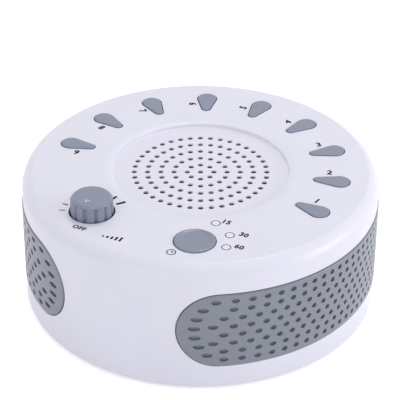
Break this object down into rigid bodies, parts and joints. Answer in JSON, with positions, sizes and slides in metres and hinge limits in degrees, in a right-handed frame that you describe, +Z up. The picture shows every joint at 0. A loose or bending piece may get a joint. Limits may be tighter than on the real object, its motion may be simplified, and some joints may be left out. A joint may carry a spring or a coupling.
{
  "type": "white noise sound machine",
  "caption": "Round tabletop sound machine: white housing, perforated speaker dish, teardrop sound buttons, timer button, fluted volume knob, dimpled side grips and a battery bay below.",
  "frame": {"origin": "centre of the bounding box at the bottom of the feet, on the body's axis", "axes": "+Z up along the body's axis, -Y to the front where the knob and timer button are, +X to the right seen from the front"},
  "size_m": [0.1308, 0.13, 0.0572],
  "materials": {
    "housing_white": "fine satin moulded surface",
    "base_white": "fine satin moulded surface",
    "grip_grey": "matte moulded surface with dimples",
    "control_grey": "satin",
    "lamp_window": "milky",
    "lamp_body": "clear tinted",
    "rubber_foot": "matte",
    "zinc_steel": "zinc plated",
    "black_plastic": "matte",
    "switch_grey": "matte",
    "board_green": "solder mask",
    "basket_grey": "pressed steel, painted",
    "black_rubber": "rubber roll",
    "cone_paper": "pressed paper",
    "copper_wire": "enamelled winding",
    "spider_cloth": "impregnated cloth",
    "magnet_black": "sintered ferrite",
    "dust_cloth": "fine black mesh",
    "ribbon_white": "flat cable",
    "lead_red": "wire insulation",
    "lead_black": "wire insulation"
  },
  "bodies": {
    "housing": {"upper_housing": "housing_white", "base_plate": "base_white", "rubber_feet": "rubber_foot", "housing_screws": "zinc_steel", "grip_left": "grip_grey", "grip_right": "grip_grey", "volume_pot": "black_plastic", "tact_switches": "switch_grey", "control_board": "board_green", "control_board_screws": "zinc_steel", "light_pipes": "lamp_window", "timer_lamps": "lamp_body", "speaker_basket": "basket_grey", "speaker_surround": "black_rubber", "speaker_spider": "spider_cloth", "speaker_top_plate": "zinc_steel", "speaker_magnet": "magnet_black", "speaker_yoke": "zinc_steel", "speaker_cloth": "dust_cloth", "speaker_screws": "zinc_steel", "main_board": "board_green", "main_board_parts": "black_plastic", "main_board_screws": "zinc_steel", "dc_inlet": "black_plastic", "dc_inlet_pin": "zinc_steel", "battery_springs": "zinc_steel", "battery_contacts": "zinc_steel", "ribbon_cable": "ribbon_white", "speaker_leads": "lead_red", "battery_leads": "lead_black"},
    "battery_door_body": {"battery_door": "base_white"},
    "knob_body": {"volume_knob": "control_grey", "volume_shaft": "zinc_steel"},
    "timer_key": {"timer_button": "control_grey", "timer_plunger": "black_plastic"},
    "cone_body": {"speaker_cone": "cone_paper", "speaker_dust_cap": "cone_paper", "voice_coil": "copper_wire"},
    "sound_key_1": {"sound_button_1": "control_grey", "plunger_1": "black_plastic"},
    "sound_key_2": {"sound_button_2": "control_grey", "plunger_2": "black_plastic"},
    "sound_key_3": {"sound_button_3": "control_grey", "plunger_3": "black_plastic"},
    "sound_key_4": {"sound_button_4": "control_grey", "plunger_4": "black_plastic"},
    "sound_key_5": {"sound_button_5": "control_grey", "plunger_5": "black_plastic"},
    "sound_key_6": {"sound_button_6": "control_grey", "plunger_6": "black_plastic"},
    "sound_key_7": {"sound_button_7": "control_grey", "plunger_7": "black_plastic"},
    "sound_key_8": {"sound_button_8": "control_grey", "plunger_8": "black_plastic"},
    "sound_key_9": {"sound_button_9": "control_grey", "plunger_9": "black_plastic"}
  },
  "joints": [
    {"name": "volume_turn", "type": "hinge", "parent": "housing", "child": "knob_body", "pos_m": [-0.02029, -0.0435, 0.0533], "axis": [0, 0, -1], "range_deg": [0, 217]},
    {"name": "timer_press", "type": "slide", "parent": "housing", "child": "timer_key", "axis": [0, 0, -1], "range_m": [0, 0.0005], "stiffness_N_per_m": 800, "springref_m": -0.001},
    {"name": "sound_press_1", "type": "slide", "parent": "housing", "child": "sound_key_1", "axis": [0, 0, -1], "range_m": [0, 0.0005], "stiffness_N_per_m": 800, "springref_m": -0.001},
    {"name": "sound_press_2", "type": "slide", "parent": "housing", "child": "sound_key_2", "axis": [0, 0, -1], "range_m": [0, 0.0005], "stiffness_N_per_m": 800, "springref_m": -0.001},
    {"name": "sound_press_3", "type": "slide", "parent": "housing", "child": "sound_key_3", "axis": [0, 0, -1], "range_m": [0, 0.0005], "stiffness_N_per_m": 800, "springref_m": -0.001},
    {"name": "sound_press_4", "type": "slide", "parent": "housing", "child": "sound_key_4", "axis": [0, 0, -1], "range_m": [0, 0.0005], "stiffness_N_per_m": 800, "springref_m": -0.001},
    {"name": "sound_press_5", "type": "slide", "parent": "housing", "child": "sound_key_5", "axis": [0, 0, -1], "range_m": [0, 0.0005], "stiffness_N_per_m": 800, "springref_m": -0.001},
    {"name": "sound_press_6", "type": "slide", "parent": "housing", "child": "sound_key_6", "axis": [0, 0, -1], "range_m": [0, 0.0005], "stiffness_N_per_m": 800, "springref_m": -0.001},
    {"name": "sound_press_7", "type": "slide", "parent": "housing", "child": "sound_key_7", "axis": [0, 0, -1], "range_m": [0, 0.0005], "stiffness_N_per_m": 800, "springref_m": -0.001},
    {"name": "sound_press_8", "type": "slide", "parent": "housing", "child": "sound_key_8", "axis": [0, 0, -1], "range_m": [0, 0.0005], "stiffness_N_per_m": 800, "springref_m": -0.001},
    {"name": "sound_press_9", "type": "slide", "parent": "housing", "child": "sound_key_9", "axis": [0, 0, -1], "range_m": [0, 0.0005], "stiffness_N_per_m": 800, "springref_m": -0.001},
    {"name": "cone_travel", "type": "slide", "parent": "housing", "child": "cone_body", "axis": [0, 0, 1], "range_m": [-0.0006, 0.0006], "stiffness_N_per_m": 1200, "deforming": ["speaker_surround", "speaker_spider"]},
    {"name": "battery_door_release", "type": "slide", "parent": "housing", "child": "battery_door_body", "axis": [0, 0, -1], "range_m": [0, 0.012]}
  ]
}
